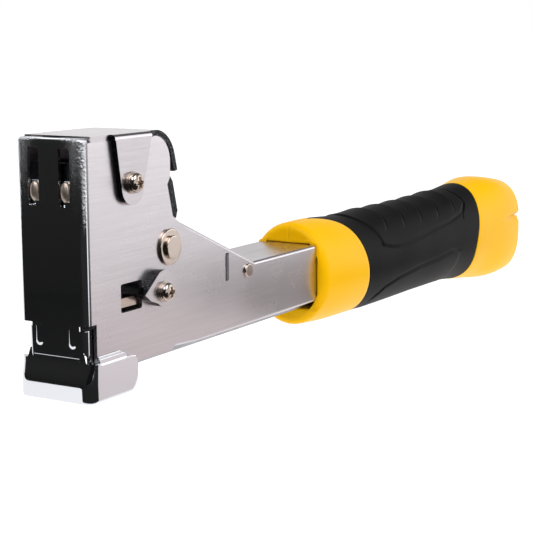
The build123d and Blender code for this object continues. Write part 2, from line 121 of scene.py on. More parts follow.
# white near the horizon, dim overhead, so that upright sheet reads light and tops keep some shape
way = node(sky, "ShaderNodeTexCoord")
split = node(sky, "ShaderNodeSeparateXYZ", links={"Vector": way.outputs["Generated"]})
height = node(sky, "ShaderNodeValToRGB", links={"Fac": split.outputs["Z"]})
horizon, overhead = height.color_ramp.elements
horizon.position, horizon.color = 0.20, (1.0, 1.0, 1.0, 1)
overhead.position, overhead.color = 0.50, (0.16, 0.16, 0.17, 1)
sky_light = node(sky, "ShaderNodeBackground", Strength=1.0, links={"Color": height.outputs["Color"]})
sky.links.new(sky_light.outputs[0], sky_out.inputs["Surface"])
bpy.context.scene.world = world
bpy.context.scene.view_settings.view_transform = "Standard"

# the sweep's half width, and how far it lies under the tool's lowest point; the cards lie as far over it
SWEEP_HALF, SWEEP_GAP = 6, 0.0005
low = Vector(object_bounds()[0])
floor_mat, tree, out = finish("white_sweep")
grain = node(tree, "ShaderNodeTexNoise", Scale=9.0, Detail=2.0)
tone = node(tree, "ShaderNodeMix", data_type="RGBA", links={"Factor": grain.outputs["Fac"]})
tone.inputs["A"].default_value = linear("#FDFDFD")
tone.inputs["B"].default_value = linear("#FAFAFB")
paper = node(tree, "ShaderNodeBsdfDiffuse", Color=linear("#6F6F70"))
# the sweep is translucent and lit from underneath, which takes the shadow away
glow = node(tree, "ShaderNodeEmission", Strength=1.07, links={"Color": tone.outputs["Result"]})
both = node(tree, "ShaderNodeAddShader")
tree.links.new(paper.outputs[0], both.inputs[0])
tree.links.new(glow.outputs[0], both.inputs[1])
tree.links.new(both.outputs[0], out.inputs["Surface"])
sweep_corners = [(SWEEP_HALF * x, SWEEP_HALF * y, low.z - SWEEP_GAP)
                 for x, y in ((-1, -1), (1, -1), (1, 1), (-1, 1))]
floor = mesh_object("floor", sweep_corners, [(0, 1, 2, 3)], floor_mat, smooth=False)

CAMERA_PLACE, LENS_MM = (-0.3362, -0.2745, 0.1111), 98.1
azimuth, elevation, roll = math.radians(-59.32), math.radians(9.27), math.radians(0.24)
ahead = Vector((-math.sin(azimuth) * math.cos(elevation), math.cos(azimuth) * math.cos(elevation),
                -math.sin(elevation)))
right = ahead.cross(Vector((0, 0, 1))).normalized()
above = right.cross(ahead)
turned = Matrix.Rotation(roll, 3, ahead)
right, above = turned @ right, turned @ above
camera = bpy.data.objects.new("camera", bpy.data.cameras.new("camera"))
bpy.context.scene.collection.objects.link(camera)
camera.data.lens = LENS_MM
camera.data.clip_start, camera.data.clip_end = 0.01, 30
camera.matrix_world = Matrix.Translation(CAMERA_PLACE) @ Matrix((right, above, -ahead)).transposed().to_4x4()
bpy.context.scene.camera = camera

# square soft boxes: where each stands and aims, its width in metres and its power in watts
for name, place, aim, size, power in (
        ("key_box", (-0.15, -1.3, 1.5), (0.12, 0, 0.03), 1.3, 21.0),
        ("front_box", (-1.05, 0.05, 1.15), (0.15, 0, 0.02), 0.8, 15.0),
        ("right_box", (1.5, -1.2, 0.6), (0.15, 0, 0.03), 1.2, 6.0),
        ("back_box", (0.6, 1.4, 1.2), (0.1, 0, 0.03), 1.2, 7.0)):
    lamp = bpy.data.lights.new(name, "AREA")
    lamp.shape, lamp.size, lamp.energy = "SQUARE", size, power
    holder = bpy.data.objects.new(name, lamp)
    bpy.context.scene.collection.objects.link(holder)
    holder.location = place
    holder.rotation_euler = (Vector(aim) - Vector(place)).to_track_quat("-Z", "Y").to_euler()

level = low.z + SWEEP_GAP


def upright(start, end, top):
    """Corners of a card that stands on the sweep between two points and reaches up to `top`."""
    return [(*start, level), (*end, level), (*end, top), (*start, top)]


def lying(*points):
    """Corners of a card that lies on the sweep."""
    return [(x, y, level) for x, y in points]


# the flat front mirrors the first card, and rounded corners mirror the second, behind the viewer
card("front_card", upright((-0.33, -0.10), (-0.07, 0.33), 0.33), "#2F2F2E")
card("camera_card", upright((-0.85, -0.05), (-0.40, -0.80), 0.48), "#222226")
# lies in front of the tool and beside it, with a white gap left along the foot
card("floor_card", lying((-0.056, 0.90), (-0.056, 0.012), (0.0, -0.02), (0.03, -0.04), (0.09, -0.12),
                         (0.55, -0.90), (-1.2, -0.90), (-1.2, 0.90)), "#2A2A2A")
# lights the foot's near wing, and greys the reflection along the tube
card("wing_card", lying((0.022, -0.031), (0.155, -0.031), (0.195, -0.15), (0.11, -0.14)),
     "#C9C0C0", glow=0.52)
card("tube_card", lying((0.17, -0.045), (0.36, -0.045), (0.40, -0.15), (0.20, -0.15)), "#8C8583")

# ------------------------------------------------------------------ side plates and other bare sheet
# The head and tube halves, top cap, rear plate and screw pads are stainless sheet, blanked and bent.
# A belt leaves long fine scratches along the handle, so highlights smear upright and stay soft.


def brushed_sheet(name, base, scratch_mm, rough=0.27, depth=0.12, sheared=()):
    """Belt-brushed steel. `scratch_mm` is how long the scratches are and how far apart. `sheared` names the
    faces left by the blanking die: groups of tests, where all the tests of some group have to hold."""
    mat, tree, out = finish(name)
    place = node(tree, "ShaderNodeTexCoord")
    long_mm, gap_mm = scratch_mm
    stretch = node(tree, "ShaderNodeMapping", links={"Vector": place.outputs["Object"]},
                   Scale=(1000 / long_mm, 1000 / gap_mm, 1000 / gap_mm))
    # a real belt's grit is too fine to show from here, so the scratches are drawn coarser
    fine = node(tree, "ShaderNodeTexNoise", links={"Vector": stretch.outputs[0]}, Scale=1.1, Detail=3.0,
                Roughness=0.65)
    # handling dulls the sheet in patches about 26 mm across
    cloud = node(tree, "ShaderNodeTexNoise", links={"Vector": place.outputs["Object"]}, Scale=38.0,
                 Detail=3.0)
    shade = node(tree, "ShaderNodeValToRGB", links={"Fac": fine.outputs["Fac"]})
    r, g, b, _ = linear(base)
    valley, ridge = shade.color_ramp.elements
    valley.position, valley.color = 0.32, (r * 0.94, g * 0.94, b * 0.94, 1)
    ridge.position, ridge.color = 0.70, (min(r * 1.03, 1), min(g * 1.03, 1), min(b * 1.03, 1), 1)
    haze = node(tree, "ShaderNodeMapRange", To_Min=rough - 0.05, To_Max=rough + 0.07,
                links={"Value": cloud.outputs["Fac"]})
    bump = node(tree, "ShaderNodeBump", Strength=depth, Distance=0.00004,
                links={"Height": fine.outputs["Fac"]})
    steel = node(tree, "ShaderNodeBsdfPrincipled", Metallic=1.0, links={
        "Base Color": shade.outputs["Color"], "Roughness": haze.outputs["Result"],
        "Normal": bump.outputs["Normal"]})
    if not sheared:
        tree.links.new(steel.outputs[0], out.inputs["Surface"])
        return mat
    # a sheared edge is torn and dark, with pits about 0.4 mm across
    torn = node(tree, "ShaderNodeTexNoise", links={"Vector": place.outputs["Object"]}, Scale=2600.0,
                Detail=3.0)
    torn_tone = node(tree, "ShaderNodeValToRGB", links={"Fac": torn.outputs["Fac"]})
    pit, burr = torn_tone.color_ramp.elements
    pit.position, pit.color = 0.52, linear("#0E0F12")
    burr.position, burr.color = 0.86, linear("#8A8D92")
    rag = node(tree, "ShaderNodeBump", Strength=0.5, Distance=0.0002, links={"Height": torn.outputs["Fac"]})
    edge = node(tree, "ShaderNodeBsdfPrincipled", Metallic=1.0, Roughness=0.38, links={
        "Base Color": torn_tone.outputs["Color"], "Normal": rag.outputs["Normal"]})
    facing = node(tree, "ShaderNodeSeparateXYZ", links={"Vector": place.outputs["Normal"]})
    spot = node(tree, "ShaderNodeSeparateXYZ", links={"Vector": place.outputs["Object"]})
    sideways = node(tree, "ShaderNodeMath", operation="ABSOLUTE", links={0: facing.outputs["Y"]})
    values = {"sideways": sideways.outputs[0], "backward": facing.outputs["X"], "x": spot.outputs["X"]}
    mask = 0.0
    for tests in sheared:
        group = 1.0
        for value, comparison, limit in tests:
            passed = node(tree, "ShaderNodeMath", operation=comparison, links={0: values[value], 1: limit})
            both = node(tree, "ShaderNodeMath", operation="MULTIPLY", links={0: group, 1: passed.outputs[0]})
            group = both.outputs[0]
        either = node(tree, "ShaderNodeMath", operation="MAXIMUM", links={0: mask, 1: group})
        mask = either.outputs[0]
    mixer = node(tree, "ShaderNodeMixShader", links={0: mask, 1: steel.outputs[0], 2: edge.outputs[0]})
    tree.links.new(mixer.outputs[0], out.inputs["Surface"])
    return mat


def dress(names, mat, bevel=0.0):
    """Give CAD nodes a material and, where asked, a small edge round as a modifier."""
    for name in names:
        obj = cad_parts[name]
        obj.data.materials.clear()
        obj.data.materials.append(mat)
        if bevel:
            edge = obj.modifiers.new("edge_round", "BEVEL")
            edge.width, edge.segments, edge.limit_method = bevel, 2, "ANGLE"
            edge.angle_limit = math.radians(35)
            edge.harden_normals = False


dress(("side_plate_near", "side_plate_far"),
      brushed_sheet("brushed_stainless_sheet", "#C7C2C5", (25, 5 / 6)))
# sheared: the front edge of each screw tab, and both ends of the leaf
dress(("top_cap",), brushed_sheet(
    "brushed_stainless_cap", "#C0BABD", (50 / 3, 10 / 9), rough=0.18, depth=0.05, sheared=(
        (("backward", "LESS_THAN", -0.6), ("x", "GREATER_THAN", 0.010), ("x", "LESS_THAN", 0.030)),
        (("sideways", "GREATER_THAN", 0.6), ("x", "GREATER_THAN", 0.0335)))))
# sheared: all of a pad's edge
dress(("screw_pads",), brushed_sheet("brushed_stainless_pad", "#C7C2C5", (50 / 3, 10 / 9),
                                     sheared=((("sideways", "LESS_THAN", 0.5),),)))
# sheared: both ends of the closing plate
dress(("rear_plate",), brushed_sheet("brushed_stainless_closer", "#C7C2C5", (50 / 3, 10 / 9),
                                     sheared=((("sideways", "GREATER_THAN", 0.6),),)))

# ------------------------------------------------------------------ chromed nose parts
# The front plate, nose plate and striking foot are mild steel, polished and chromium plated. The plate
# mirrors what stands round it, with a faint ripple where the sheet was polished by hand.
chrome, tree, out = finish("polished_chrome_plate")
place = node(tree, "ShaderNodeTexCoord")
# ripples about 8 mm across
ripple = node(tree, "ShaderNodeTexNoise", links={"Vector": place.outputs["Object"]}, Scale=120.0, Detail=3.0)
haze = node(tree, "ShaderNodeMapRange", To_Min=0.03, To_Max=0.10, links={"Value": ripple.outputs["Fac"]})
wave = node(tree, "ShaderNodeBump", Strength=0.12, Distance=0.0002, links={"Height": ripple.outputs["Fac"]})
plating = node(tree, "ShaderNodeBsdfPrincipled", Metallic=1.0, Base_Color=linear("#DCDEE2"), links={
    "Roughness": haze.outputs["Result"], "Normal": wave.outputs["Normal"]})
tree.links.new(plating.outputs[0], out.inputs["Surface"])

# pressing the slots leaves the sheet round them rough and cloudy, with an orange peel about 0.8 mm across
worked, tree, out = finish("chrome_plate_worked_round_slots")
place = node(tree, "ShaderNodeTexCoord")
spot = node(tree, "ShaderNodeSeparateXYZ", links={"Vector": place.outputs["Object"]})
aside = node(tree, "ShaderNodeMath", operation="ABSOLUTE", links={0: spot.outputs["Y"]})
rise = node(tree, "ShaderNodeMapRange", From_Min=0.050, From_Max=0.077, links={"Value": spot.outputs["Z"]})
spread = node(tree, "ShaderNodeMapRange", From_Min=0.0022, From_Max=0.0095, links={"Value": aside.outputs[0]})
zone = node(tree, "ShaderNodeMath", operation="MULTIPLY", links={0: rise.outputs[0], 1: spread.outputs[0]})
peel = node(tree, "ShaderNodeTexNoise", links={"Vector": place.outputs["Object"]}, Scale=1300.0, Detail=4.0)
soft = node(tree, "ShaderNodeMapRange", To_Min=0.05, To_Max=0.42, links={"Value": zone.outputs[0]})
dent = node(tree, "ShaderNodeBump", Distance=0.0004, links={
    "Height": peel.outputs["Fac"], "Strength": zone.outputs[0]})
cover = node(tree, "ShaderNodeBsdfPrincipled", Metallic=1.0, Base_Color=linear("#DCDEE2"), links={
    "Roughness": soft.outputs["Result"], "Normal": dent.outputs["Normal"]})
tree.links.new(cover.outputs[0], out.inputs["Surface"])
dress(("front_plate",), worked)


def bent_sheet(name, columns, mat, thick, bevel):
    """Sheet from columns of points in mm, given thickness inwards and small round edges."""
    rows = len(columns[0])
    verts = [Vector(p) / 1000 for column in columns for p in column]
    faces = []
    for i in range(len(columns) - 1):
        for k in range(rows - 1):
            faces.append((i * rows + k, (i + 1) * rows + k, (i + 1) * rows + k + 1, i * rows + k + 1))
    obj = mesh_object(name, verts, faces, mat)
    solid = obj.modifiers.new("thickness", "SOLIDIFY")
    solid.thickness, solid.offset = thick / 1000, -1.0
    edge = obj.modifiers.new("edge_round", "BEVEL")
    edge.width, edge.segments = bevel / 1000, 2
    edge.limit_method, edge.angle_limit = "ANGLE", math.radians(60)
    return obj


def smooth_step(t):
    """Nought to one with an easy start and end."""
    t = min(max(t, 0.0), 1.0)
    return t * t * (3 - 2 * t)


def plan_path(front_x, half, radius, rear_x, wing=16, bend=14, front=72):
    """Points of a U seen from above, each with its part: far wing, far bend, front, near bend, near wing."""
    path = [(rear_x + (front_x + radius - rear_x) * t, half, "wing")
            for t in np.linspace(0, 1, wing)[:-1]]
    for t in np.linspace(0, math.pi / 2, bend)[:-1]:
        path.append((front_x + radius * (1 - math.sin(t)), half - radius * (1 - math.cos(t)), "bend"))
    path += [(front_x, y, "front") for y in np.linspace(half - radius, radius - half, front)[:-1]]
    for t in np.linspace(0, math.pi / 2, bend)[:-1]:
        path.append((front_x + radius * (1 - math.cos(t)), -half + radius * (1 - math.sin(t)), "bend"))
    return path + [(front_x + radius + (rear_x - front_x - radius) * t, -half, "wing")
                   for t in np.linspace(0, 1, wing)]


# foot, in mm: the front wall leans back to meet the nose in the middle, with a shoulder at each side, and
# each wing has a rounded heel and toe
FOOT_FRONT, FOOT_HALF, FOOT_BEND, FOOT_REAR = -0.4, 14.2, 4.0, 23.8
WALL_TOP, WING_TOP, CROWN, SHOULDER_Y = 12.2, 11.4, 3.2, 10.75
HEEL_LONG, HEEL_TALL, TOE_R, SOLE_R, LEAN = 5.4, 5.2, 2.2, 0.9, 2.02
wing_front = FOOT_FRONT + FOOT_BEND
columns = []
for x, y, part in plan_path(FOOT_FRONT, FOOT_HALF, FOOT_BEND, FOOT_REAR):
    if part == "wing":
        top = WING_TOP + (WALL_TOP - WING_TOP) * max(0.0, 1 - (x - wing_front) / 2.4)
    else:
        top = WALL_TOP + CROWN / (1 + math.exp((abs(y) - SHOULDER_Y) / 0.16))
    near_front = max(0.0, 1 - (x - FOOT_FRONT) / FOOT_BEND)
    column = []
    for z in top * np.linspace(0, 1, 60):
        reach = x
        if part == "wing":
            below = max(HEEL_TALL - z, 0) / HEEL_TALL
            over = max(z - (WING_TOP - TOE_R), 0) / TOE_R
            heel = FOOT_REAR - HEEL_LONG * (1 - math.sqrt(max(0.0, 1 - below ** 2)))
            toe = FOOT_REAR - TOE_R * (1 - math.sqrt(max(0.0, 1 - over ** 2)))
            reach = wing_front + (x - wing_front) * (min(heel, toe) - wing_front) / (FOOT_REAR - wing_front)
        reach += LEAN * near_front * smooth_step((z - 5.0) / 9.0)
        sole = SOLE_R * (1 - math.sqrt(1 - (1 - min(z / SOLE_R, 1)) ** 2))
        column.append((reach + sole * near_front, y - math.copysign(sole * (1 - near_front), y), z))
    columns.append(column)
foot = bent_sheet("striking_foot", columns, chrome, 1.3, 0.25)

# nose, in mm: flat front with two pressed pips, and short returns beside the side plates
NOSE_FRONT, NOSE_HALF, NOSE_BEND, NOSE_REAR = 1.5, 10.9, 2.0, 17.6
PIP_Y, PIP_Z, PIP_HALF, PIP_R, PIP_DEEP = 6.3, 20.2, 2.3, 1.15, 0.18
columns = []
for x, y, part in plan_path(NOSE_FRONT, NOSE_HALF, NOSE_BEND, NOSE_REAR):
    column = []
    foot_line, crown = (13.5, 30.0) if part == "front" else (0.8, 22.0)
    for z in foot_line + (crown - foot_line) * np.linspace(0, 1, 90):
        pip = 0.0
        if part == "front":
            reach = math.hypot(abs(y) - PIP_Y, max(abs(z - PIP_Z) - PIP_HALF, 0))
            pip = PIP_DEEP / (1 + math.exp((reach - PIP_R) / 0.13))
        column.append((x - pip, y, z))
    columns.append(column)
nose = bent_sheet("nose_sheet", columns, chrome, 1.2, 0.06)

# two straps carry the nose up behind the front plate, and the wings' rear ends are hemmed twice
straps, hems = [], []
sides = ((1, "far"), (-1, "near"))
for side, label in sides:
    strap = [[(NOSE_FRONT, side * y, z) for z in np.linspace(29.5, 67.0, 30)]
             for y in np.linspace(9.2, 4.0, 8)[::side]]
    straps.append(bent_sheet("nose_strap_" + label, strap, chrome, 1.2, 0.2))
for side, label in sides:
    for layer, (half, top, rear) in enumerate(((13.35, 13.2, 19.2), (12.95, 14.0, 17.6)), 1):
        hem = [[(x, side * half, z) for z in np.linspace(10.0, top - 0.9 * max(0, (x - rear + 1.6) / 1.6), 8)]
               for x in np.linspace(rear, 5.2, 24)[::side]]
        hems.append(bent_sheet("wing_hem_%d_%s" % (layer, label), hem, chrome, 0.32, 0.1))
for piece in [foot, nose] + straps + hems:
    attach(piece, "magazine")
for piece in [foot] + hems:
    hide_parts("foot")
for piece in [nose] + straps:
    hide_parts("nose_plate")

# ------------------------------------------------------------------ nickel fasteners
# Screws, nuts, rivets, the window bar and the guide lugs are turned or pressed steel, nickel plated,
# which is a little warmer than chrome and dulled by handling.
nickel, tree, out = finish("bright_nickel_plate")
place = node(tree, "ShaderNodeTexCoord")
# dull spots about 1.4 mm across
spots = node(tree, "ShaderNodeTexNoise", links={"Vector": place.outputs["Object"]}, Scale=700.0, Detail=2.0)
dull = node(tree, "ShaderNodeMapRange", To_Min=0.10, To_Max=0.24, links={"Value": spots.outputs["Fac"]})
pits = node(tree, "ShaderNodeBump", Strength=0.10, Distance=0.00005, links={"Height": spots.outputs["Fac"]})
nickel_skin = node(tree, "ShaderNodeBsdfPrincipled", Metallic=1.0, Base_Color=linear("#BFB1A7"), links={
    "Roughness": dull.outputs["Result"], "Normal": pits.outputs["Normal"]})
tree.links.new(nickel_skin.outputs[0], out.inputs["Surface"])
dress(("nuts", "stepped_rivet", "small_rivet", "window_bar"), nickel)


def works_metal(name, base, low_rough, high_rough, size_mm):
    """Plain plated or hardened steel with patches about `size_mm` across."""
    mat, tree, out = finish(name)
    place = node(tree, "ShaderNodeTexCoord")
    patch = node(tree, "ShaderNodeTexNoise", links={"Vector": place.outputs["Object"]},
                 Scale=1000.0 / size_mm, Detail=3.0)
    tint = node(tree, "ShaderNodeValToRGB", links={"Fac": patch.outputs["Fac"]})
    r, g, b, _ = linear(base)
    tint.color_ramp.elements[0].color = (r * 0.75, g * 0.76, b * 0.78, 1)
    tint.color_ramp.elements[1].color = (min(r * 1.15, 1), min(g * 1.15, 1), min(b * 1.15, 1), 1)
    soft = node(tree, "ShaderNodeMapRange", To_Min=low_rough, To_Max=high_rough,
                links={"Value": patch.outputs["Fac"]})
    metal = node(tree, "ShaderNodeBsdfPrincipled", Metallic=1.0, links={
        "Base Color": tint.outputs["Color"], "Roughness": soft.outputs["Result"]})
    tree.links.new(metal.outputs[0], out.inputs["Surface"])
    return mat


# the lugs' nickel is tinted a soft tan: a painted reflection of a warm surface below them, with random
# patches
lug_painted_tan = works_metal("nickel_lug_painted_tan_reflection", "#E6D5C6", 0.42, 0.55, 2)
LUG_Y, LUG_Z, LUG_HALF_WIDE, LUG_HALF_TALL = 5.8, 63.75, 1.72, 3.15
LUG_NECK, LUG_DOME = 0.9, 1.5


def domed_lug(name, side):
    """Upset rivet end in a guide slot: a tall dome with a short straight neck, in mm."""
    rings, count = [], 48
    profile = [(1.5, 1.0), (LUG_NECK, 1.0)]
    profile += [(LUG_NECK - LUG_DOME * math.sin(t), math.cos(t)) for t in np.linspace(0.12, 1.5, 16)]
    for x, share in profile:
        rings.append([(x, side * LUG_Y + LUG_HALF_WIDE * share * math.cos(2 * math.pi * k / count),
                       LUG_Z + LUG_HALF_TALL * share * math.sin(2 * math.pi * k / count))
                      for k in range(count)])
    verts = [Vector(p) / 1000 for ring in rings for p in ring]
    faces = [(i * count + k, i * count + (k + 1) % count, (i + 1) * count + (k + 1) % count,
              (i + 1) * count + k) for i in range(len(rings) - 1) for k in range(count)]
    faces.append(tuple((len(rings) - 1) * count + k for k in range(count)))
    faces.append(tuple(range(count - 1, -1, -1)))
    return mesh_object(name, verts, faces, lug_painted_tan)


for piece in (domed_lug("guide_lug_far", 1), domed_lug("guide_lug_near", -1)):
    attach(piece, "magazine")
    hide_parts("guide_lugs")


# radii of the shank, head and cross recess, the head's height over its base, and half an arm of the cross
SHANK_R, HEAD_R, RECESS_R = 1.96, 3.1, 1.86
HEAD_BASE, DOME_TALL, RECESS_DEEP, ARM_HALF = 1.25, 1.95, 1.25, 0.42


def pan_screw(name, x, z, face):
    """Cross-recess pan head over a spring washer and a flat washer, with its shank through the head.
    `face` is how far the plate under the washers is from the middle of the tool."""
    tip = -2 * face - 3.9
    # (radius, height over the plate): shank, flat washer, spring washer, underside of the head
    outline = [(SHANK_R - 0.06, tip), (SHANK_R, tip + 0.3), (SHANK_R, -0.05), (3.3, -0.02), (3.42, 0.12),
               (3.42, 0.36), (3.3, 0.46), (2.75, 0.50), (2.75, 0.56), (3.1, 0.60), (3.24, 0.72),
               (3.24, 0.96), (3.1, 1.08), (2.7, 1.12), (2.7, 1.2)]
    tilts = list(np.linspace(1.5, 0.68, 14)) + [math.asin(r / HEAD_R) for r in np.linspace(1.88, 0.02, 30)]
    outline += [(HEAD_R * math.sin(t), HEAD_BASE + DOME_TALL * math.cos(t) ** 0.8) for t in tilts]
    verts, faces, count = [], [], 120
    for r, h in outline:
        for k in range(count):
            turn = 2 * math.pi * k / count
            u, v = r * math.cos(turn), r * math.sin(turn)
            dent = 0.0
            if r < RECESS_R:
                past_arm = min(abs(u), abs(v)) - ARM_HALF
                dent = RECESS_DEEP / (1 + math.exp(past_arm / 0.06)) * min(1.0, (RECESS_R - r) / 0.25)
            verts.append(Vector((x + u, -face - h + dent, z + v)) / 1000)
    for i in range(len(outline) - 1):
        for k in range(count):
            m = (k + 1) % count
            faces.append((i * count + k, i * count + m, (i + 1) * count + m, (i + 1) * count + k))
    faces.append(tuple(range(count)))
    faces.append(tuple((len(outline) - 1) * count + k for k in range(count - 1, -1, -1)))
    return mesh_object(name, verts, faces, nickel)


for piece in (pan_screw("cap_screw", 22.6, 65.2, 14.2), pan_screw("low_screw", 36.6, 29.3, 15.6)):
    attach(piece, "housing")
    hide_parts("screws")

# ------------------------------------------------------------------ working parts inside
# Driver, throat block, hinge pin and spring bracket are hardened tool steel with a blued, oiled surface.
# The channel, rail, follower and rod are zinc plated strip, grey with a soft spangle.
dress(("driver_blade", "throat_block", "hinge_pin", "spring_bracket"),
      works_metal("hardened_tool_steel", "#6E6E72", 0.25, 0.42, 6))
dress(("driver_carrier", "spacer_tube", "magazine_channel", "staple_rail", "hinge_ears", "follower",
       "loading_rod"), works_metal("zinc_plated_strip", "#B4B7BA", 0.28, 0.45, 4))
# drawn spring wire, smoother and darker than the zinc
wire_steel = works_metal("music_wire", "#85888E", 0.18, 0.30, 2)


def coil(name, start, end, radius, wire, turns, mat):
    """Round wire wound between two points in mm, with its ends laid flat. `wire` is the wire's radius."""
    start, end = Vector(start), Vector(end)
    axis = (end - start).normalized()
    side = axis.cross(Vector((0, 1, 0))).normalized()
    other = axis.cross(side)
    steps_per_turn, count, end_share = 28, 10, 0.04
    steps = int(turns * steps_per_turn)
    verts, faces = [], []
    for i in range(steps + 1):
        t = i / steps
        turn = 2 * math.pi * turns * t
        flat = min(max((t - end_share) / (1 - 2 * end_share), 0), 1)
        out_way = side * math.cos(turn) + other * math.sin(turn)
        middle = start + (end - start) * flat + out_way * radius
        for k in range(count):
            a = 2 * math.pi * k / count
            verts.append((middle + out_way * wire * math.cos(a) + axis * wire * math.sin(a)) / 1000)
        if i:
            for k in range(count):
                m = (k + 1) % count
                faces.append(((i - 1) * count + k, i * count + k, i * count + m, (i - 1) * count + m))
    faces += [tuple(range(count)), tuple(steps * count + k for k in range(count - 1, -1, -1))]
    return mesh_object(name, verts, faces, mat)


lift_spring = coil("return_spring_coil", (62, 0, 15.05), (62, 0, 33.5), 4.4, 0.5, 6.0, wire_steel)
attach(lift_spring, "housing")
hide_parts("return_spring")
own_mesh(lift_spring)
push_spring = coil("pusher_spring_coil", (126.3, 0, 7.85), (247.6, 0, 7.85), 1.38, 0.22, 22, wire_steel)
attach(push_spring, "rod")
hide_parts("pusher_spring")
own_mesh(push_spring)

# ------------------------------------------------------------------ staple strip
# Galvanised wire staples, each about 1.27 mm thick, cemented side by side. The joints show as fine
# dark lines across the strip.
staple_mat, tree, out = finish("galvanised_staples")
place = node(tree, "ShaderNodeTexCoord")
# a line every 8 mm, coarser than the real joints; the node's bands turn 20 radians for each unit of scale
line_gap = 2 * math.pi * 0.00127
pitch = node(tree, "ShaderNodeTexWave", links={"Vector": place.outputs["Object"]}, bands_direction="X",
             Scale=2 * math.pi / (20 * line_gap), Distortion=0.0)
joint_tone = node(tree, "ShaderNodeValToRGB", links={"Fac": pitch.outputs["Fac"]})
joint, crest = joint_tone.color_ramp.elements
joint.position, joint.color = 0.08, linear("#5E5E60")
crest.position, crest.color = 0.25, linear("#C4C5C7")
wire = node(tree, "ShaderNodeBsdfPrincipled", Metallic=1.0, Roughness=0.3,
            links={"Base Color": joint_tone.outputs["Color"]})
tree.links.new(wire.outputs[0], out.inputs["Surface"])
dress(("staple_strip",), staple_mat)

# ------------------------------------------------------------------ yellow grip core
# The collar and butt are ABS, moulded round the tube in two halves. The spark-eroded mould leaves a
# fine satin grain, and a thin parting line runs up the collar's front face and along its back.
yellow, tree, out = finish("moulded_yellow_abs")
place = node(tree, "ShaderNodeTexCoord")
# mould grain about 0.4 mm, drawn a little coarse so that it shows
pips = node(tree, "ShaderNodeTexNoise", links={"Vector": place.outputs["Object"]}, Scale=2400.0,
            Detail=2.0)
# the melt's flow leaves patches about 45 mm across, hardly darker and a little duller
flow = node(tree, "ShaderNodeTexNoise", links={"Vector": place.outputs["Object"]}, Scale=22.0, Detail=2.0)
dye = node(tree, "ShaderNodeValToRGB", links={"Fac": flow.outputs["Fac"]})
dye.color_ramp.elements[0].color = linear("#F9BB00")
dye.color_ramp.elements[1].color = linear("#FFC300")
satin = node(tree, "ShaderNodeMapRange", To_Min=0.30, To_Max=0.40, links={"Value": flow.outputs["Fac"]})
grain_bump = node(tree, "ShaderNodeBump", Strength=0.10, Distance=0.00006,
                  links={"Height": pips.outputs["Fac"]})
abs_skin = node(tree, "ShaderNodeBsdfPrincipled", IOR=1.53, Specular_IOR_Level=0.08,
                Subsurface_Weight=0.05, Subsurface_Radius=(0.004, 0.0025, 0.0005), links={
                    "Base Color": dye.outputs["Color"], "Roughness": satin.outputs["Result"],
                    "Normal": grain_bump.outputs["Normal"]})
tree.links.new(abs_skin.outputs[0], out.inputs["Surface"])

# (x, centre height, half width, half height) of the oval grip, in mm
GRIP_SHAPE = ((142.6, 18.0, 16.9, 19.8), (158, 17.5, 17.8, 20.4), (180, 16.6, 18.0, 20.0),
              (210, 16.1, 18.0, 19.8), (245, 16.0, 17.9, 19.8), (280, 16.0, 18.1, 20.8),
              (302, 15.7, 18.6, 23.0), (322, 15.3, 19.0, 24.6), (338, 14.4, 18.3, 23.6),
              (347, 13.8, 17.4, 22.5))
knots = np.array(GRIP_SHAPE)
slopes = np.gradient(knots[:, 1:], knots[:, 0], axis=0)


def grip_oval(x):
    """Centre height, half width and half height at x, smooth between the stations."""
    i = int(np.clip(np.searchsorted(knots[:, 0], x) - 1, 0, len(knots) - 2))
    x0, x1 = knots[i, 0], knots[i + 1, 0]
    t, h = (x - x0) / (x1 - x0), x1 - x0
    return ((2 * t ** 3 - 3 * t ** 2 + 1) * knots[i, 1:] + (t ** 3 - 2 * t ** 2 + t) * h * slopes[i]
            + (3 * t ** 2 - 2 * t ** 3) * knots[i + 1, 1:] + (t ** 3 - t ** 2) * h * slopes[i + 1])


def grip_point(x, angle, lift=0.0):
    """Point on the grip's skin at x and at an angle from +Y towards the top, `lift` mm proud of it."""
    z0, a, b = grip_oval(x)
    # an oval up to 300 mm, squarer from there to the butt
    boxy = 1 - 0.26 * smooth_step((x - 300) / 30)
    c, s = math.cos(angle), math.sin(angle)
    y, z = a * math.copysign(abs(c) ** boxy, c), b * math.copysign(abs(s) ** boxy, s)
    nx, nz = c / a, s / b
    size = math.hypot(nx, nz)
    return (x, y + lift * nx / size, z0 + z + lift * nz / size)


def from_top(angle):
    """Degrees round from the back of the grip: 0 on top, 180 underneath."""
    return math.degrees(math.atan2(abs(math.cos(angle)), math.sin(angle)))


def front_seam(angle):
    """Where black meets yellow behind the collar: a tongue runs forward along the top."""
    tongue_x, tongue_long, tongue_half, slant = 158, 13, 17, 0.068
    turn = from_top(angle)
    return tongue_x + tongue_long * (1 - math.exp(-(turn / tongue_half) ** 1.3)) + slant * turn


def rear_seam(angle):
    """Where black meets yellow at the butt: further back along the top, and a little underneath."""
    flank_x, top_long, belly_long = 288.5, 13, 3
    turn = from_top(angle)
    over_top = abs(math.cos(math.radians(min(turn, 100) * 0.9))) ** 1.5
    return flank_x + top_long * over_top + belly_long * smooth_step((turn - 100) / 50)


def tube_mesh(name, rings, mat, closed=False):
    """Skin through equal rings of points given in mm."""
    count = len(rings[0])
    verts = [Vector(p) / 1000 for ring in rings for p in ring]
    faces = []
    for i in range(len(rings) - 1 + (1 if closed else 0)):
        j = (i + 1) % len(rings)
        for k in range(count):
            m = (k + 1) % count
            faces.append((i * count + k, i * count + m, j * count + m, j * count + k))
    return mesh_object(name, verts, faces, mat)


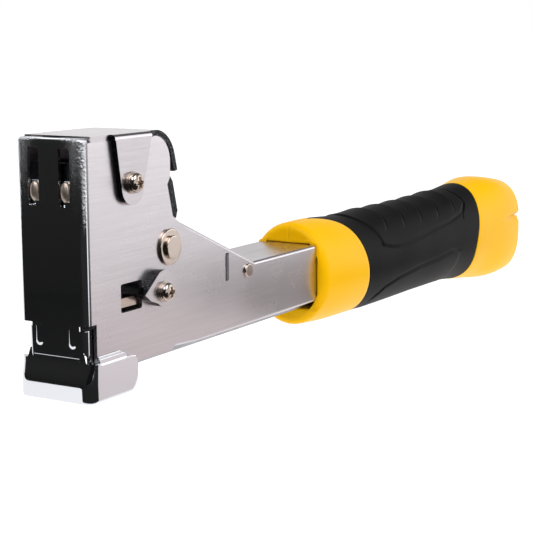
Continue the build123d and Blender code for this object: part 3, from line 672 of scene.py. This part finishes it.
def box_edge(angle, half_y, low_z, high_z):
    """Point on an upright rectangle with small round corners, met by a ray from its middle."""
    c, s = math.cos(angle), math.sin(angle)
    half_z = (high_z - low_z) / 2
    sharp = 24.0
    r = (abs(c / half_y) ** sharp + abs(s / half_z) ** sharp) ** (-1 / sharp)
    return (r * c, (low_z + high_z) / 2 + r * s)


angles = [2 * math.pi * k / 320 for k in range(320)]

# collar: tube opening, flat front face, rounded rim, outer skin and the step under the sleeve
FACE_X, RIM = 142.7, 3.0
HOLE_HALF, HOLE_LOW, HOLE_HIGH = 12.42, 5.2, 30.24
rings = []
for x, grow in ((166, 0.06), (150, 0.06), (FACE_X + 0.6, 0.10), (FACE_X + 0.15, 0.3), (FACE_X, 0.7)):
    rings.append([(x,) + box_edge(a, HOLE_HALF + grow, HOLE_LOW - grow, HOLE_HIGH + grow) for a in angles])
z0, wide, tall = grip_oval(FACE_X + RIM)
for share in (0.25, 0.6, 0.9):
    ring = []
    for a in angles:
        y1, z1 = box_edge(a, 13.1, 4.5, 30.9)
        y2, z2 = (wide - RIM) * math.cos(a), z0 + (tall - RIM) * math.sin(a)
        ring.append((FACE_X, y1 + (y2 - y1) * share, z1 + (z2 - z1) * share))
    rings.append(ring)
for turn in np.linspace(0, math.pi / 2, 9):
    inset = RIM * (1 - math.sin(turn))
    x = FACE_X + RIM * (1 - math.cos(turn))
    rings.append([(x, (wide - inset) * math.cos(a), z0 + (tall - inset) * math.sin(a)) for a in angles])
skin_from = FACE_X + RIM
for share in np.linspace(0.04, 1, 16):
    rings.append([grip_point(skin_from + (front_seam(a) - 0.35 - skin_from) * share, a) for a in angles])
for push, lift in ((-0.08, -0.12), (0.0, -0.4), (0.0, -2.4), (4.0, -2.6)):
    rings.append([grip_point(front_seam(a) + push, a, lift) for a in angles])
# the two mould halves meet in a fine groove up the middle of the collar
GROOVE_HALF, GROOVE_DEEP, GROOVE_END, MIDDLE_Z = 0.32, 0.2, 175, 17
for ring in rings[4:]:
    for k in range(len(angles)):
        x, y, z = ring[k]
        if abs(y) < GROOVE_HALF and x < GROOVE_END:
            ring[k] = (x + (0.22 if x < skin_from else 0.0), y, z - math.copysign(GROOVE_DEEP, z - MIDDLE_Z))
collar = tube_mesh("grip_collar", rings, yellow)
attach(collar, "housing")

# butt: step under the sleeve, outer skin with the notch between the lobes, round rim, rear face
TAIL, LOW_TAIL, TAIL_RIM, LOW_RIM = 347.0, 343.9, 7.0, 3.85
NOTCH_Z, NOTCH_DEEP, NOTCH_SOFT, NOTCH_FROM, NOTCH_GROWS = 19.8, 2.6, 1.3, 318, 18
SOCKET_HALF, SOCKET_LOW, SOCKET_HIGH, SOCKET_END = 10.7, -2.2, 18.2, 335.0


def notched(x, angle, inset=0.0):
    """Point on the butt's skin, with the notch between its lobes growing deeper towards the tail."""
    gap = (grip_point(x, angle)[2] - NOTCH_Z) / NOTCH_SOFT
    grown = min(max((x - NOTCH_FROM) / NOTCH_GROWS, 0), 1) ** 1.5
    return grip_point(x, angle, -inset - NOTCH_DEEP * math.exp(-gap ** 2) * grown)


rings = []
for push, lift in ((-4.0, -2.6), (0.0, -2.4), (0.0, -0.4), (0.08, -0.12)):
    rings.append([grip_point(rear_seam(a) + push, a, lift) for a in angles])
# the upper lobe ends further back than the lower one, and has a rounder rim
ends = [(TAIL, TAIL_RIM) if grip_point(339, a)[2] > 19.6 else (LOW_TAIL, LOW_RIM) for a in angles]
for share in np.linspace(0, 1, 26):
    ring = []
    for a, (tail, rim) in zip(angles, ends):
        start = rear_seam(a) + 0.35
        ring.append(notched(start + (tail - rim - start) * share, a))
    rings.append(ring)
for turn in np.linspace(0, math.pi / 2, 13)[1:]:
    back, inset = math.sin(turn), 1 - math.cos(turn)
    rings.append([(tail - rim + rim * back,) + notched(tail - rim, a, rim * inset)[1:]
                  for a, (tail, rim) in zip(angles, ends)])
lip = rings[-1]
socket = [box_edge(a, SOCKET_HALF, SOCKET_LOW, SOCKET_HIGH) for a in angles]
for share in (0.35, 0.7, 1.0):
    rings.append([(tail, y1 + (y2 - y1) * share, z1 + (z2 - z1) * share)
                  for (tail, _), (_, y1, z1), (y2, z2) in zip(ends, lip, socket)])
rings.append([(SOCKET_END,) + point for point in socket])
butt = tube_mesh("grip_butt", rings, yellow)
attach(butt, "housing")
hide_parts("grip_core")
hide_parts("grip_core")
dress(("end_knob",), yellow, bevel=0.0003)

# ------------------------------------------------------------------ black grip sleeve
# A thermoplastic rubber sleeve moulded over the core. Raised ribs cross its back, a shallow channel
# wraps each flank, and the skin is matt with a fine leather-like grain.
rubber, tree, out = finish("overmoulded_black_tpe")
place = node(tree, "ShaderNodeTexCoord")
# grain about 0.6 mm, drawn coarse enough to break up the sheen
leather = node(tree, "ShaderNodeTexVoronoi", links={"Vector": place.outputs["Object"]}, Scale=1700.0)
# rubbed patches about 22 mm across
smudge = node(tree, "ShaderNodeTexNoise", links={"Vector": place.outputs["Object"]}, Scale=45.0, Detail=4.0)
soot = node(tree, "ShaderNodeValToRGB", links={"Fac": smudge.outputs["Fac"]})
soot.color_ramp.elements[0].color = linear("#0B0A0B")
soot.color_ramp.elements[1].color = linear("#110F11")
matt = node(tree, "ShaderNodeMapRange", To_Min=0.42, To_Max=0.56, links={"Value": smudge.outputs["Fac"]})
skin_bump = node(tree, "ShaderNodeBump", Strength=0.14, Distance=0.00008,
                 links={"Height": leather.outputs["Distance"]})
tpe = node(tree, "ShaderNodeBsdfPrincipled", IOR=1.5, Specular_IOR_Level=0.05, links={
    "Base Color": soot.outputs["Color"], "Roughness": matt.outputs["Result"],
    "Normal": skin_bump.outputs["Normal"]})
tree.links.new(tpe.outputs[0], out.inputs["Surface"])

# heights and depths of the moulded relief, and where the ribs start and how far apart they are, in mm
PAD_LIFT, PAD_LINE, PAD_END_LINE, BELLY_LIFT, BELLY_LINE = 0.45, 0.35, 0.3, 0.25, 0.40
RIB_FIRST, RIB_PITCH, RIB_COUNT, RIB_LIFT, RIB_CUT = 204.0, 17.4, 5, 0.85, 0.28
# share of the pitch in which a rib drops to the next one
RIB_STEP = 0.09


def line_offset(x, turn, knots_x, knots_turn):
    """Signed gap in mm round the grip from a moulded line to a point; more is further down."""
    mm_per_degree = 0.32
    return (turn - float(np.interp(x, knots_x, knots_turn))) * mm_per_degree


def sleeve_lift(x, angle):
    """Height of the moulded relief over the plain oval, in mm."""
    turn = from_top(angle)
    # the back pad stands proud of the flank inside one closed line
    nose_x = 182.0 + 9.5 * smooth_step(turn / 68)
    tail_x = 284.5 - 9.0 * smooth_step((turn - 40) / 22)
    down = line_offset(x, turn, (190, 199, 206, 217, 244, 262, 276, 284),
                       (66, 72, 74, 72, 64, 60, 54, 44))
    inside = smooth_step((x - nose_x) / 1.6) * smooth_step((tail_x - x) / 1.6)
    lift = PAD_LIFT * inside * smooth_step(-down / 0.9 + 0.5)
    rim = abs(down) if nose_x - 1 < x < tail_x + 1 else 9.0
    lift -= PAD_LINE * math.exp(-((rim - 0.2) / 0.55) ** 2)
    if turn < 64 and abs(x - tail_x) < 3:
        lift -= PAD_END_LINE * math.exp(-((x - tail_x - 0.5) / 0.7) ** 2)
    # overlapping scales across the pad: each swells towards the butt and ends in a step
    fade = 1 - smooth_step((turn - 30) / 26)
    bowed = x + 0.0055 * max(turn - 18, 0) ** 2
    row = (bowed - RIB_FIRST) / RIB_PITCH
    if fade > 0 and -1 < row < RIB_COUNT - 1 + 0.12:
        part = row - math.floor(row)
        swell = part ** 1.6 if row < RIB_COUNT - 1 else 0.0
        if row > 0 and part <= RIB_STEP:
            swell = max(swell, 1 - smooth_step(part / RIB_STEP))
        lift += fade * RIB_LIFT * swell * smooth_step((x - nose_x) / 3)
        if row > 0:
            lift -= fade * RIB_CUT * math.exp(-((part - 0.10) / 0.035) ** 2)
    # a second line sets off the belly of the grip
    belly = line_offset(x, turn, (188, 196, 208, 227, 247, 262, 270), (140, 120, 112, 106, 103, 99, 102))
    if 187 < x < 271:
        ends = smooth_step((x - 187) / 5) * smooth_step((271 - x) / 4)
        lift -= ends * BELLY_LINE * math.exp(-(belly / 0.6) ** 2)
        lift += ends * BELLY_LIFT * smooth_step(belly / 1.2) * smooth_step((176 - turn) / 20)
    return lift


rings = [[grip_point(front_seam(a) + push, a, lift) for a in angles]
         for push, lift in ((6.0, -2.3), (0.2, -2.2), (0.02, -0.4), (0.12, -0.12))]
for share in np.linspace(0, 1, 380):
    ring = []
    for a in angles:
        start, end = front_seam(a) + 0.4, rear_seam(a) - 0.4
        x = start + (end - start) * share
        ring.append(grip_point(x, a, sleeve_lift(x, a)))
    rings.append(ring)
rings += [[grip_point(rear_seam(a) + push, a, lift) for a in angles]
          for push, lift in ((-0.12, -0.12), (-0.02, -0.4), (-0.2, -2.2), (-6.0, -2.3))]
sleeve = tube_mesh("grip_overmould", rings, rubber, closed=True)
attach(sleeve, "housing")
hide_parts("grip_sleeve")
